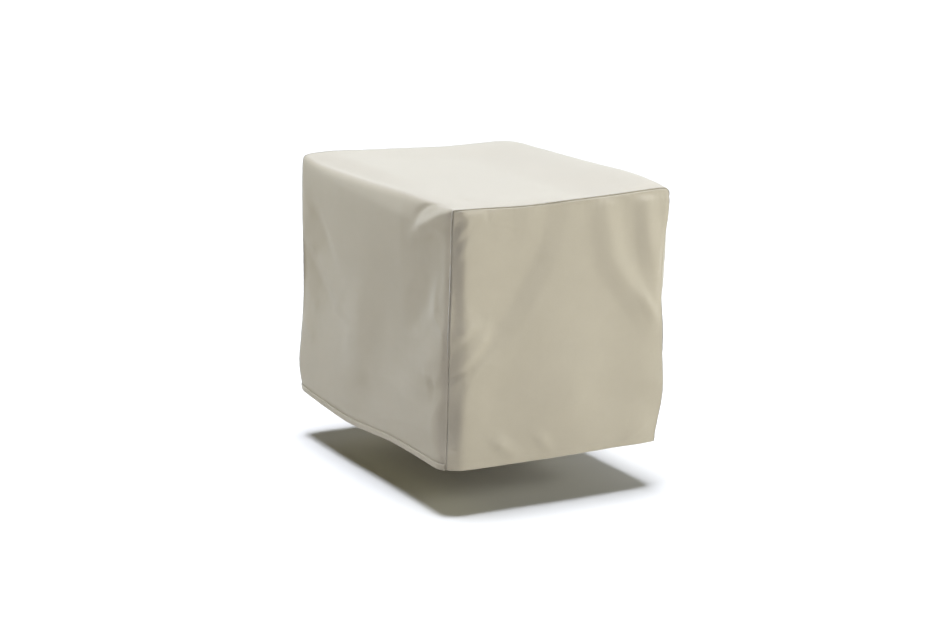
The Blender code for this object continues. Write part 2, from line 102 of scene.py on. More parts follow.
# Height of the top seams along the width (mm above the top plane)
FRONT_TOP_RISE = ((0, -1), (60, -2), (150, -4), (250, 0), (332, 3), (455, 9))
BACK_TOP_RISE = ((0, 0), (60, 2), (120, 0), (230, -3), (340, -6), (455, -3))

# Height of the cloth along the top's left and right edges, by distance from the front (mm)
LEFT_EDGE_RISE = (
    (0, 0), (120, 0), (200, -1), (250, -3), (320, -6), (400, -8), (490, -9), (550, -7), (600, 0),
)
RIGHT_EDGE_RISE = (
    (0, 0), (25, 12), (60, 18), (120, 22), (200, 21), (310, 19), (450, 15), (540, 10), (600, 0),
)

# How soft the roll of those edges is, by distance from the front (mm)
LEFT_ROLL = ((0, 6), (60, 9), (160, 10), (320, 8), (500, 7), (600, 9))
RIGHT_ROLL = ((0, 8), (80, 14), (520, 14), (600, 10))

# Length of the drop along each side (mm)
FRONT_HEM = ((0, 476), (45, 477), (170, 477), (266, 476), (371, 475), (455, 477))
BACK_HEM = ((0, 471), (110, 475), (240, 479), (350, 477), (455, 474))
LEFT_HEM = (
    (0, 476), (107, 473), (195, 473), (300, 480), (370, 483), (482, 479), (554, 474), (600, 471),
)
RIGHT_HEM = ((0, 477), (120, 481), (270, 478), (410, 480), (520, 476), (600, 474))

# Folds: how soft the flank on each side of the line is, then the line's places, each by its distance
# across and down the face and its height there (mm). The first flank of a line that runs down lies
# toward the start of the face, and that of a line that runs across lies below.
FRONT_FOLDS = (
    (14, 95, (32, 24, 2.4), (26, 80, 3), (28, 150, 3), (40, 205, 2)),
    (15, 30, (28, 160, 0.3), (28, 185, 2), (27, 212, 3), (24, 236, 1.8), (22, 252, 0.3)),
    (24, 30, (152, 10, 1.6), (148, 56, 1.6), (136, 108, 0.4)),
    (110, 36, (190, 10, -3.6), (184, 60, -5), (166, 103, -6.4), (128, 168, -7.2), (95, 215, -6.4),
        (72, 250, -3.6), (60, 274, -0.8)),
    (70, 36, (270, 5, -2.2), (274, 40, -2.4), (282, 75, -2.4), (290, 125, -2), (314, 170, -2.4),
        (350, 205, -2.4), (388, 245, -1)),
    (26, 26, (312, 12, 1.5), (322, 60, 2), (330, 113, 2.6), (352, 147, 3.2), (380, 182, 3.2),
        (405, 214, 2.8), (424, 238, 1)),
    (26, 30, (352, 8, -1.6), (360, 50, -2.2), (376, 100, -2.4), (392, 132, -1.8), (412, 165, -1)),
    (22, 22, (402, 18, 3), (409, 60, 4), (414, 95, 3.8), (424, 140, 1.8)),
    (5, 5, (68, 6, -1.4), (69, 26, -0.4)),
    (12, 14, (6, 236, 1.4), (30, 224, 3), (52, 212, 1)),
    (20, 15, (74, 206, 1), (64, 240, 3.4), (40, 268, 4), (14, 290, 2)),
    (12, 9, (4, 320, 3), (28, 309, 4.4), (46, 296, 1)),
    (9, 9, (2, 62, 3), (14, 46, 4.6), (27, 28, 1.4)),
    (9, 9, (3, 98, 2.6), (14, 82, 3.8), (24, 66, 0.8)),
    (12, 46, (100, 260, 1), (60, 292, 3), (38, 330, 3), (32, 390, 1.6), (34, 440, 1)),
    (60, 90, (118, 310, -2.4), (94, 350, -3), (74, 395, -1.6)),
    (100, 60, (232, 260, 1), (246, 320, 5), (258, 380, 6), (276, 420, 3)),
    (60, 60, (330, 300, -1), (345, 380, -1.6), (360, 420, -0.8)),
    (12, 16, (90, 424, 0.5), (110, 440, 3), (138, 460, 1)),
    (10, 14, (176, 424, 0.5), (194, 441, 2.4), (212, 458, 0.8)),
    (14, 10, (392, 172, 0.5), (410, 198, 2.6), (428, 226, 2.6), (440, 246, 0.6)),
    (10, 18, (372, 466, 0.3), (390, 456, 1.5), (420, 440, 1.5), (436, 430, 0.4)),
    (12, 16, (396, 350, 0.4), (420, 352, 1), (444, 354, 1.2)),
)
LEFT_FOLDS = (
    (220, 240, (350, 60, 4), (350, 420, 4)),
    (17, 13, (6, 6, 3.4), (36, 17, 5.6), (68, 33, 6), (102, 50, 4.8), (130, 70, 1.4)),
    (8, 8, (34, -10, -0.8), (60, -3, -1.8), (88, 7, -2.6), (108, 20, -2.6), (124, 34, -0.6)),
    (34, 130, (590, 20, 0.6), (500, 25, 2.4), (420, 29, 4.2), (340, 32, 4.8), (250, 39, 6.4),
        (170, 46, 7.4), (115, 46, 3)),
    (27, 80, (572, 74, -0.4), (548, 94, -2.4), (526, 116, -5.4), (496, 150, -7.4), (468, 178, -4.8),
        (440, 204, -2), (410, 226, -0.4)),
    (28, 80, (600, 160, -0.4), (582, 190, -3.4), (558, 214, -6.6), (526, 240, -9), (490, 262, -7.6),
        (452, 282, -4.2), (412, 298, -1.8), (378, 308, -0.4)),
    (80, 60, (340, 190, 0.6), (336, 240, 3), (333, 300, 4.2), (330, 365, 4.2), (332, 410, 0.6)),
    (110, 90, (170, 110, -1), (200, 160, -2.6), (224, 220, -3.2), (250, 290, -3)),
    (60, 60, (268, 260, -1), (285, 310, -2), (296, 370, -2.6), (305, 420, -2)),
    (30, 44, (30, 80, -1.6), (46, 125, -3.6), (82, 178, -5), (118, 214, -4.4), (156, 246, -1.4)),
    (10, 24, (40, 122, 0.8), (50, 168, 2.2), (46, 200, 2.8), (12, 224, 3)),
    (46, 40, (6, 246, 2), (36, 276, 4), (80, 312, 3.6), (130, 348, 1.8), (160, 372, 0.4)),
    (9, 12, (4, 308, 1), (30, 318, 2), (66, 318, 1.4)),
    (9, 11, (41, 306, -0.3), (42, 320, -1.2), (43, 342, -1.2), (43, 356, -0.3)),
    (9, 10, (16, 50, 1.2), (36, 48, 2), (60, 44, 0.6)),
    (26, 190, (24, 340, 0.6), (30, 366, 3.6), (34, 392, 6), (33, 418, 6.6), (30, 450, 5.4)),
    (9, 40, (600, 486, 0.9), (500, 489, 1.1), (420, 491, 0.9), (350, 492, 0.3)),
    (14, 18, (594, 84, 1.2), (562, 104, 1.8)),
    (14, 18, (594, 150, 1.2), (556, 172, 1.8)),
    (14, 18, (590, 262, 1.2), (545, 284, 1.8)),
    (14, 18, (590, 330, 1.2), (548, 350, 1.8)),
)
RIGHT_FOLDS = (
    (10, 26, (12, 50, 4), (13, 110, 6), (14, 175, 5), (15, 200, 2)),
    (40, 44, (60, 40, -5), (170, 190, -4)),
    (60, 50, (150, 60, 3), (240, 260, 5)),
    (40, 50, (430, 70, -5), (340, 230, -2)),
    (50, 40, (520, 120, 4), (420, 330, 2)),
    (60, 60, (60, 350, 5), (200, 400, 2.5)),
    (40, 50, (300, 440, -4), (360, 330, -1)),
    (30, 40, (560, 440, 3), (500, 360, 1)),
)
BACK_FOLDS = (
    (36, 40, (70, 30, -5), (120, 150, -4)),
    (50, 60, (170, 40, 4), (130, 260, 3)),
    (34, 40, (400, 40, -5), (330, 190, -3)),
    (50, 50, (300, 60, 3.5), (380, 300, 4.5)),
    (18, 24, (40, 300, 3.5), (110, 250, 0.8)),
    (70, 60, (230, 330, -4), (200, 440, -2.5)),
    (20, 24, (410, 450, -3), (360, 400, -0.5)),
)
TOP_FOLDS = (
    (110, 120, (110, 90, 2), (300, 200, 3)),
    (90, 90, (180, 480, -2), (330, 420, -2.5)),
    (18, 18, (60, 60, -1.5), (20, 20, -1)),
)

FRONT = Side(-1.0, FRONT_LEFT, FRONT_RIGHT, FRONT_TOP_RISE, FRONT_HEM, FRONT_FOLDS)
BACK = Side(1.0, BACK_LEFT, BACK_RIGHT, BACK_TOP_RISE, BACK_HEM, BACK_FOLDS)

# Shape of the seams, rolls and folds, which a user would not change (m, or a share)
SEAM_GAP = 0.00012
BEND_STEPS = 5
PROBE = 0.003
TRIMMED = 0.0005
TRIM_AT_CORNER = (0.006, 0.022)
TRIM_AT_HEM = (0.014, 0.030)
INSET_SOFT = 0.35
FOLD_START = 0.007
CREST_SOFT = 0.30
FOOT_SOFT = 0.25
EDGE_RISE_LEFT = 0.070
EDGE_RISE_RIGHT = 0.200
EDGE_RISE_DROP = 0.070
TOP_SEAM_LEAN = 0.002
TOP_SEAM_RUN = 0.014
CORNER_BLEND = 0.012
HEM_STEPS = 5
LAYER_GAP = 0.0001
STITCH_UP = 0.0105
GROOVE_DEEP = 0.00006
GROOVE_WIDE = 0.0014
PUCKER = 0.00035
PUCKER_REACH = 0.012
# Gathers beside a seam: two waves and the patches in which they come, each by length and start
PUCKER_WAVE = (0.0123, 0.0)
PUCKER_SECOND = (0.0187, 1.3)
SECOND_SHARE = 0.7
PUCKER_PATCHES = (0.147, 0.6)
PATCH_SHARE = 0.45
# How far the gathers of the other seams are shifted, so that no two seams look alike
SHIFT_RIGHT_SEAM = 0.31
SHIFT_TOP_SEAM = 0.17
SHIFT_BACK_SEAM = 0.23
# From where to where each face's folds come in, from the top's edge toward the face
LEFT_FOLDS_IN = (-0.020, 0.012)
RIGHT_FOLDS_IN = (-0.01, 0.03)
TOP_FOLDS_IN = (-0.02, 0.03)

# Spacing of the vertices (m): near seams, near the hem, on the open cloth, and the run between
STRIP_SPACING = (0.0020, 0.0014, 0.0054, 0.030)
PANEL_SPACING = (0.0016, 0.0014, 0.0036, 0.030)
SPACING_STEPS = 2000
# On the flat cut, how far the insides of the hems lie from the rest (m)
CUT_APART = 2.0

# Stitches: sides and rings of each, its length as a share of the pitch, how square its ends are,
# how far it bows out and lies sunk as shares of the thread, and the step that measures a slope (m)
STITCH_SIDES = 6
STITCH_RINGS = 6
STITCH_LENGTH = 0.80
STITCH_END = 0.05
STITCH_BOW = 0.25
STITCH_SUNK = 0.25
SLOPE_STEP = 0.0005

# Stage
FLOOR_HALF = 40.0
CAMERA_REACH = 200.0
OVERHEAD = Lamp("SUN", (0.80, 0.86, 1.0), (-0.04, 0.03, 1.0), 24.0)
FROM_BACK = Lamp("SUN", (0.93, 0.98, 1.10), (0.49, 0.84, 0.32), 60.0)
LEFT_BOX = Lamp("AREA", (1.0, 0.945, 0.50), (-1.0, 1.6, 0.55), 2.0)
RIGHT_BOX = Lamp("AREA", (0.96, 0.985, 0.88), (1.0, -0.85, 0.30), 2.2)
BOX_DISTANCE = 4.6
BOX_AIM = Vector((0.0, 0.0, -0.25))


def metres(name, description, default, low, high):
    """A length to set."""
    return bpy.props.FloatProperty(
        name=name, description=description, default=default, min=low, max=high, unit="LENGTH")


def colour(name, description, default):
    """A colour to set."""
    return bpy.props.FloatVectorProperty(
        name=name, description=description, default=default, size=3, min=0.0, max=1.0, subtype="COLOR")


def turned_by(name, description, degrees):
    """An angle to set, given here in degrees."""
    return bpy.props.FloatProperty(
        name=name, description=description, default=math.radians(degrees), subtype="ANGLE")


def strength(name, description, default):
    """The strength of a light to set."""
    return bpy.props.FloatProperty(name=name, description=description, default=default, min=0.0, max=20.0)


class CoverColours(bpy.types.PropertyGroup):
    """Colours and finish of the cloth and thread."""
    cloth: colour("Cloth", "Main colour of the yarn", (0.400, 0.351, 0.270))
    shade: colour("Cloth shade", "Colour of the yarn where the dye took more", (0.370, 0.324, 0.246))
    thread: colour("Thread", "Colour of the sewing thread", (0.400, 0.352, 0.272))
    weave_pitch: metres("Weave pitch", "From one yarn to the next", 0.0011, 0.0004, 0.004)
    weave_depth: metres("Weave depth", "Height of the yarns in the weave", 0.00012, 0.0, 0.001)


class CoverStage(bpy.types.PropertyGroup):
    """Floor, camera and lights."""
    floor_below_hem: metres("Floor below hem", "From the hem down to the floor", 0.082, 0.0, 0.5)
    floor_colour: colour("Floor", "Colour of the floor", (0.605, 0.582, 0.545))
    camera_place: bpy.props.FloatVectorProperty(
        name="Camera", description="Where the camera stands",
        default=(-2.2605, -3.8365, 0.820), size=3, subtype="XYZ", unit="LENGTH")
    camera_turn: turned_by("Camera turn", "Turn of the camera about the upright", -30.352)
    camera_dip: turned_by("Camera dip", "How far the camera looks down", 13.821)
    camera_roll: turned_by("Camera roll", "Turn of the camera about its line of sight", 1.624)
    camera_lens: bpy.props.FloatProperty(
        name="Lens", description="Focal length in millimetres on a 36 mm frame",
        default=91.9, min=20.0, max=300.0)
    overhead: strength("Overhead light", "Strength of the lamp above", 6.8)
    left_light: strength("Left light", "Strength of the lamp on the left", 0.82)
    right_light: strength("Right light", "Strength of the lamp on the right", 2.85)
    back_light: strength("Back light", "Strength of the lamp behind", 1.1)
    surround: strength("Surround", "Strength of the light all round", 0.03)


def soft_ramp(value, soft):
    """Zero below nothing and the value above it, rounded between: half of the value plus the root
    of its square and the softness squared."""
    return 0.5 * (value + np.sqrt(value * value + soft * soft))


def ramp_slope(value, soft):
    """The slope of the soft ramp: half of one plus the value over the same root."""
    return 0.5 * (1.0 + value / np.sqrt(value * value + soft * soft))


def fade(share, soft=INSET_SOFT):
    """One at the start, falling straight to nothing at a share of one, with a soft foot."""
    return soft_ramp(1.0 - share, soft) / soft_ramp(1.0, soft)


def smooth_step(value, low, high):
    """Zero up to low, one from high, and three squares less two cubes of the share between."""
    share = np.clip((value - low) / (high - low), 0.0, 1.0)
    return share * share * (3.0 - 2.0 * share)


def curve(place, knots, values):
    """A smooth curve through the values: a cubic between knots, its slopes from the values beside."""
    slopes = np.gradient(values, knots)
    index = np.clip(np.searchsorted(knots, place) - 1, 0, len(knots) - 2)
    step = knots[index + 1] - knots[index]
    t = np.clip((place - knots[index]) / step, 0.0, 1.0)
    rise = values[index] * (2 * t ** 3 - 3 * t ** 2 + 1) + values[index + 1] * (3 * t ** 2 - 2 * t ** 3)
    lean = slopes[index] * (t ** 3 - 2 * t ** 2 + t) + slopes[index + 1] * (t ** 3 - t ** 2)
    return rise + lean * step


def corner_at(table, column, down):
    """One column of a corner's table at the given depths, in metres, as a smooth curve."""
    columns = np.array(table).T * MM
    return curve(down, columns[DOWN], columns[column])


def amount_at(table, place):
    """A table of places and amounts as a smooth curve, in metres."""
    return curve(place, *(np.array(table).T * MM))


def tent(share):
    """A fold's section in stiff cloth: one at its crest, straight flanks that reach nothing at a share
    of one, and a small round at crest and foot."""
    slope = np.sqrt(share * share + CREST_SOFT * CREST_SOFT) - CREST_SOFT
    return fade(slope, FOOT_SOFT)


def fold_height(across, down, folds):
    """Outward height of a face: each fold gives its height at the nearest place on its line times the
    tent of distance over softness. The softness turns evenly from one flank's to the other's with
    the angle between the line and the way to that place."""
    total = np.zeros(np.broadcast(across, down).shape)
    for soft_a, soft_b, *line in folds:
        line = np.array(line) * MM
        nearest = np.full_like(total, np.inf)
        high = side = np.zeros_like(total)
        for first, last in zip(line[:-1], line[1:]):
            run_x, run_y, run_high = last - first
            long = math.hypot(run_x, run_y)
            from_x, from_y = across - first[0], down - first[1]
            along = np.clip((from_x * run_x + from_y * run_y) / long ** 2, 0.0, 1.0)
            off_x, off_y = from_x - along * run_x, from_y - along * run_y
            distance = np.hypot(off_x, off_y)
            closer = distance < nearest
            nearest = np.where(closer, distance, nearest)
            high = np.where(closer, first[2] + run_high * along, high)
            turned = (run_x * off_y - run_y * off_x) / (long * np.maximum(distance, MM * MM))
            side = np.where(closer, turned, side)
        soft = 0.5 * ((soft_a + soft_b) + (soft_a - soft_b) * side) * MM
        total = total + high * tent(nearest / soft)
    return total


def clear_of(distance):
    """Nothing at a seam and one a little way off: one less e to the minus squared distance."""
    return 1.0 - np.exp(-(np.maximum(distance, 0.0) / FOLD_START) ** 2)


def wave(along, length, start):
    """A sine along a line, one turn to each length, from the given start."""
    return np.sin(along * 2 * np.pi / length + start)


def pucker(distance, along):
    """Fine gathers beside a line of stitches: two waves along it, which rise close to it, die away
    over the reach, and come and go along its length."""
    waves = wave(along, *PUCKER_WAVE) + SECOND_SHARE * wave(along, *PUCKER_SECOND)
    patchy = 1.0 - PATCH_SHARE + PATCH_SHARE * wave(along, *PUCKER_PATCHES)
    near = clear_of(distance * 2.0) * np.exp(-np.maximum(distance, 0.0) / PUCKER_REACH)
    return PUCKER * waves * patchy * near


def stitch_groove(from_hem):
    """The dip that the hem stitches pull: a bell across the line of stitches."""
    return -GROOVE_DEEP * np.exp(-((from_hem - STITCH_UP) / GROOVE_WIDE) ** 2)


def unit(vectors):
    """Each vector divided by its own length."""
    return vectors / np.linalg.norm(vectors, axis=-1, keepdims=True)


def dot(first, last):
    """The sum of the products of two vectors' parts."""
    return np.sum(first * last, axis=-1, keepdims=True)


def turned_to(vectors, way):
    """Each vector, turned round where it points away from the given way."""
    return vectors * np.sign(dot(vectors, way))


def across_seam(directions, tangents):
    """The part of a direction that stands square to the seam."""
    return unit(directions - dot(directions, tangents) * tangents)


def stations(length, first_fine, last_fine, coarse, blend):
    """Places along a length, close together at both ends: the running sum of one over the spacing,
    cut into equal steps."""
    walk = np.linspace(0.0, length, SPACING_STEPS + 1)
    from_first = first_fine + (coarse - first_fine) * smooth_step(walk, 0.0, blend)
    from_last = last_fine + (coarse - last_fine) * smooth_step(length - walk, 0.0, blend)
    density = 1.0 / np.minimum(from_first, from_last)
    total = np.concatenate([[0.0], np.cumsum((density[1:] + density[:-1]) / 2 * np.diff(walk))])
    count = int(math.ceil(total[-1]))
    return np.interp(np.linspace(0.0, total[-1], count + 1), total, walk)


def even_stations(length, spacing):
    """Places along a line between two seams, close together at both ends."""
    seam, _, coarse, blend = spacing
    return stations(length, seam, seam, coarse, blend)


class CoverSizes(bpy.types.PropertyGroup):
    """Sizes of the cover and its cloth, and the surfaces that they and the tables give."""
    width: metres("Width", "Across the top from left to right", 0.455, 0.2, 1.0)
    length: metres("Length", "Across the top from front seam to back seam", 0.600, 0.2, 1.5)
    drop: metres("Drop", "From the top to the hem", 0.476, 0.2, 1.0)
    cloth: metres("Cloth", "Thickness of one layer of the cloth", 0.0008, 0.0003, 0.002)
    hem_deep: metres("Hem", "How far the cloth is folded up inside the hem", 0.0130, 0.005, 0.03)
    allowance: metres("Seam allowance", "How far each piece turns in at a seam", 0.0070, 0.003, 0.02)
    seam_bend: metres("Seam bend", "Radius at which the cloth turns into a seam", 0.0015, 0.0005, 0.005)
    fold_depth: bpy.props.FloatProperty(
        name="Fold depth", description="Share of the folds' usual depth",
        default=1.0, min=0.0, max=1.5, subtype="FACTOR")
    stitch_pitch: metres("Stitch pitch", "From one hem stitch to the next", 0.0036, 0.002, 0.01)
    stitch_thick: metres("Thread", "Thickness of the sewing thread", 0.00038, 0.0003, 0.0012)

    def y_at(self, side, x, z):
        """A panel as a field of y over x and z: the square end, less the slope toward each upright
        seam and the lean at the top seam, plus the height of its folds."""
        down = np.maximum(-z, 0.0)
        across = x + self.width / 2
        from_left = across - corner_at(side.left, X_IN, down)
        from_right = self.width - across - corner_at(side.right, X_IN, down)
        left_share = from_left / corner_at(side.left, X_RUN, down)
        right_share = from_right / corner_at(side.right, X_RUN, down)
        inset = corner_at(side.left, Y_IN, down) * fade(left_share)
        inset = inset + corner_at(side.right, Y_IN, down) * fade(right_share)
        inset = inset + TOP_SEAM_LEAN * fade(down / TOP_SEAM_RUN)
        clear = clear_of(from_left) * clear_of(from_right)
        high = fold_height(across, down, side.folds) * clear * clear_of(down) * self.fold_depth
        high = high + pucker(from_left, down) + pucker(from_right, down + SHIFT_RIGHT_SEAM)
        high = high + pucker(down, across + SHIFT_TOP_SEAM) * clear
        high = high + stitch_groove(amount_at(side.hem, across) + z)
        return side.facing * (self.length / 2 - inset + high)

    def panel_surface(self, side, x, z):
        """A panel's outer face at the given x and z."""
        return np.stack([x, self.y_at(side, x, z), z], axis=-1)

    def strip_path(self, place, far):
        """The strip's section and its outward normal: x is a soft ramp up from the left corner less
        one from the right corner, and z falls by a soft ramp outside each corner."""
        roll_left = amount_at(LEFT_ROLL, far)
        roll_right = amount_at(RIGHT_ROLL, far)
        beyond = place - self.width
        x = soft_ramp(place, roll_left) - soft_ramp(beyond, roll_right) - self.width / 2
        z = -soft_ramp(-place, roll_left) - soft_ramp(beyond, roll_right)
        dx = ramp_slope(place, roll_left) - ramp_slope(beyond, roll_right)
        dz = ramp_slope(-place, roll_left) - ramp_slope(beyond, roll_right)
        size = np.hypot(dx, dz)
        return x, z, -dz / size, dx / size

    def drop_extra(self, place, far):
        """How much longer than the drop the strip hangs: its hem's own figure times the cube of the
        share of the way down."""
        extra = 0.0
        for hem, down in ((LEFT_HEM, -place), (RIGHT_HEM, place - self.width)):
            extra = extra + (amount_at(hem, far) - self.drop) * np.clip(down / self.drop, 0.0, 1.0) ** 3
        return extra

    def seam_inset(self, side, place):
        """How far the strip's edge is drawn in at one end of the cover, and over what run: the corner
        tables on the drops and the top seam's rise between them, blended at the corners."""
        left_down = np.clip(-place, 0.0, self.drop)
        right_down = np.clip(place - self.width, 0.0, self.drop)
        on_top = np.clip(place, 0.0, self.width)
        to_top = smooth_step(place, -CORNER_BLEND, CORNER_BLEND)
        to_right = smooth_step(place, self.width - CORNER_BLEND, self.width + CORNER_BLEND)
        values = []
        for column, top in ((X_IN, -amount_at(side.rise, on_top)), (Y_RUN, 2 * TOP_SEAM_RUN)):
            left = corner_at(side.left, column, left_down)
            right = corner_at(side.right, column, right_down)
            values.append(left * (1 - to_top) + top * to_top * (1 - to_right) + right * to_right)
        return values

    def seam_line(self, side, place):
        """The seam between the strip and one panel: the strip's section moved in by the seam's inset,
        on the panel's own surface."""
        far = np.full_like(place, 0.0 if side is FRONT else self.length)
        x, z, normal_x, normal_z = self.strip_path(place, far)
        inset, _ = self.seam_inset(side, place)
        x = x - normal_x * inset
        z = z - normal_z * inset - self.drop_extra(place, far)
        return self.panel_surface(side, x, z)

    def above_hem(self, place):
        """How far up the cloth from the nearer of the strip's two hems."""
        return np.minimum(place + self.drop, self.width + self.drop - place)

    def edge_share(self, inside, top_run):
        """The share of an edge's rise that the cloth takes: a smooth step up the drop to the edge, times
        one down over the top."""
        return smooth_step(inside, -EDGE_RISE_DROP, 0.0) * smooth_step(-inside, -top_run, 0.0)

    def strip_surface(self, place, far):
        """The strip's outer face: its section there, moved inward beside each seam and outward by the
        folds, with y shared out between the two seams."""
        x, z, normal_x, normal_z = self.strip_path(place, far)
        front_inset, front_run = self.seam_inset(FRONT, place)
        back_inset, back_run = self.seam_inset(BACK, place)
        to_back = self.length - far
        inset = front_inset * fade(far / front_run) + back_inset * fade(to_back / back_run)
        beyond = place - self.width
        high = fold_height(far, -place, LEFT_FOLDS) * smooth_step(-place, *LEFT_FOLDS_IN)
        high = high + fold_height(far, beyond, RIGHT_FOLDS) * smooth_step(beyond, *RIGHT_FOLDS_IN)
        on_top = smooth_step(place, *TOP_FOLDS_IN) * smooth_step(-beyond, *TOP_FOLDS_IN)
        high = high + fold_height(place, far, TOP_FOLDS) * on_top
        high = high * clear_of(far) * clear_of(to_back) * self.fold_depth
        high = high + pucker(far, place) + pucker(to_back, place + SHIFT_BACK_SEAM)
        inset = inset - high - stitch_groove(self.above_hem(place))
        rise = amount_at(LEFT_EDGE_RISE, far) * self.edge_share(place, EDGE_RISE_LEFT)
        rise = rise + amount_at(RIGHT_EDGE_RISE, far) * self.edge_share(-beyond, EDGE_RISE_RIGHT)
        share = far / self.length
        y = self.seam_line(FRONT, place)[..., 1] * (1 - share) + self.seam_line(BACK, place)[..., 1] * share
        x = x - normal_x * inset
        z = z - normal_z * inset - self.drop_extra(place, far) + rise
        return np.stack([x, y, z], axis=-1)

    def allowance_width(self, place):
        """The allowance, clipped back by smooth steps at the top corners and at the hem."""
        from_corner = np.minimum(np.abs(place), np.abs(place - self.width))
        full = smooth_step(from_corner, *TRIM_AT_CORNER) * smooth_step(self.above_hem(place), *TRIM_AT_HEM)
        return TRIMMED + (self.allowance - TRIMMED) * full

    def lift(self):
        """How far all is raised, for the inner face to lie at zero under the middle of the top."""
        middle = self.strip_surface(np.array([self.width / 2]), np.array([self.length / 2]))
        return MM - middle[0, 2]

    def section_stations(self, spacing):
        """Places along the whole section of the strip, hem to hem."""
        down = stations(self.drop, *spacing)
        return np.concatenate([-down[:0:-1], even_stations(self.width, spacing), self.width + down[1:]])


class Seam:
    """The seam's line, its two sheets' directions and the plane in which their allowances lie."""

    def __init__(self, cover, side, place):
        self.cover = cover
        self.place = place
        self.line = cover.seam_line(side, place)
        self.tangent = unit(cover.seam_line(side, place + MM) - cover.seam_line(side, place - MM))
        far = PROBE if side is FRONT else cover.length - PROBE
        strip_probe = cover.strip_surface(place, np.full_like(place, far))
        self.strip_away = across_seam(strip_probe - self.line, self.tangent)
        x = self.line[..., 0] + self.tangent[..., 2] * PROBE
        z = self.line[..., 2] - self.tangent[..., 0] * PROBE
        self.panel_away = across_seam(cover.panel_surface(side, x, z) - self.line, self.tangent)
        self.inward = -unit(self.outward(self.strip_away) + self.outward(self.panel_away))
        self.toward_strip = turned_to(unit(np.cross(self.tangent, self.inward)), self.strip_away)

    def outward(self, away):
        """The outer normal of a sheet that leaves the seam in the given direction."""
        middle = np.array((0.0, 0.0, -self.cover.drop / 2))
        return turned_to(unit(np.cross(self.tangent, away)), self.line - middle)

    def turned_rows(self, away, toward):
        """Rows of one sheet from the start of its bend to the cut edge of its allowance: an arc, then
        straight inward."""
        bend = self.cover.seam_bend
        corner = self.line + toward * SEAM_GAP / 2
        turn = np.arccos(np.clip(-dot(away, self.inward), -1.0, 1.0))
        setback = bend * np.tan(turn / 2)
        centre = corner + unit(away + self.inward) * bend / np.cos(turn / 2)
        start = corner + away * setback
        end = corner + self.inward * setback
        share = np.arange(1, BEND_STEPS)[:, None, None] / BEND_STEPS
        spokes = np.sin((1 - share) * turn) * (start - centre) + np.sin(share * turn) * (end - centre)
        wide = self.inward * self.cover.allowance_width(self.place)[..., None]
        return np.concatenate([[start], centre + spokes / np.sin(turn), [end, end + wide / 2, end + wide]])


def grid_faces(index):
    """Four-cornered faces over a grid of vertex numbers."""
    return np.stack([index[:-1, :-1], index[:-1, 1:], index[1:, 1:], index[1:, :-1]], axis=-1).reshape(-1, 4)


def grid_normals(grid):
    """The normal at each point of a grid: the cross product of its two slopes."""
    return unit(np.cross(np.gradient(grid, axis=1), np.gradient(grid, axis=0)))


def hem_under(cover, grid, up, outward):
    """The cloth folded up inside a hem, as further rows of the grid: a half circle under the edge,
    then the sheet's own rows again, two layers in. The grid's rows run upward from the hem, and up
    is the height of each."""
    inward = -outward
    radius = cover.cloth + LAYER_GAP / 2
    down = unit(grid[0] - grid[1])
    turn = np.linspace(0.0, np.pi, HEM_STEPS + 1)[1:-1, None, None]
    bend = grid[0] + down * radius * np.sin(turn) + inward[0] * radius * (1 - np.cos(turn))
    inside = up < cover.hem_deep
    rows = np.concatenate([bend, grid[inside] + inward[inside] * 2 * radius])
    return rows, np.concatenate([np.zeros(HEM_STEPS - 1), up[inside]])


def link_new(name, data):
    """A new object at the origin, in the scene."""
    thing = bpy.data.objects.new(name, data)
    bpy.context.scene.collection.objects.link(thing)
    return thing


def make_piece(name, cover, points, faces, material):
    """A smooth object of the given points and faces, raised into the part's frame."""
    mesh = bpy.data.meshes.new(name)
    mesh.from_pydata(points + np.array((0.0, 0.0, cover.lift())), [], faces)
    mesh.polygons.foreach_set("use_smooth", np.ones(len(mesh.polygons), bool))
    mesh.materials.append(material)
    return link_new(name, mesh)


class Sheet:
    """One piece of cloth in the making: its vertices, their places on the flat cut, its faces."""

    def __init__(self):
        self.points = np.zeros((0, 3))
        self.flat = np.zeros((0, 2))
        self.faces = []

    def add(self, points, flat):
        """Adds a grid of vertices and returns the grid of their numbers."""
        first = len(self.points)
        self.points = np.concatenate([self.points, points.reshape(-1, 3)])
        self.flat = np.concatenate([self.flat, flat.reshape(-1, 2)])
        return np.arange(first, len(self.points)).reshape(points.shape[:-1])

    def join(self, index):
        """Adds the faces over a grid of vertex numbers."""
        self.faces.append(grid_faces(index))

    def object(self, name, cover, material):
        """The piece as an object: its outer face as a mesh, thickened inward."""
        faces = np.concatenate(self.faces)
        piece = make_piece(name, cover, self.points, faces, material)
        layer = piece.data.uv_layers.new(name="cut")
        layer.uv.foreach_set("vector", self.flat[faces.ravel()].astype(np.float32).ravel())
        shell = piece.modifiers.new("cloth thickness", "SOLIDIFY")
        shell.thickness = cover.cloth
        shell.offset = -1.0
        shell.use_even_offset = False
        return piece


def flat_grid(rows, columns):
    """Places on the flat cut for a grid: columns across and rows along."""
    return np.stack(np.broadcast_arrays(columns[None, :], rows[:, None]), axis=-1)


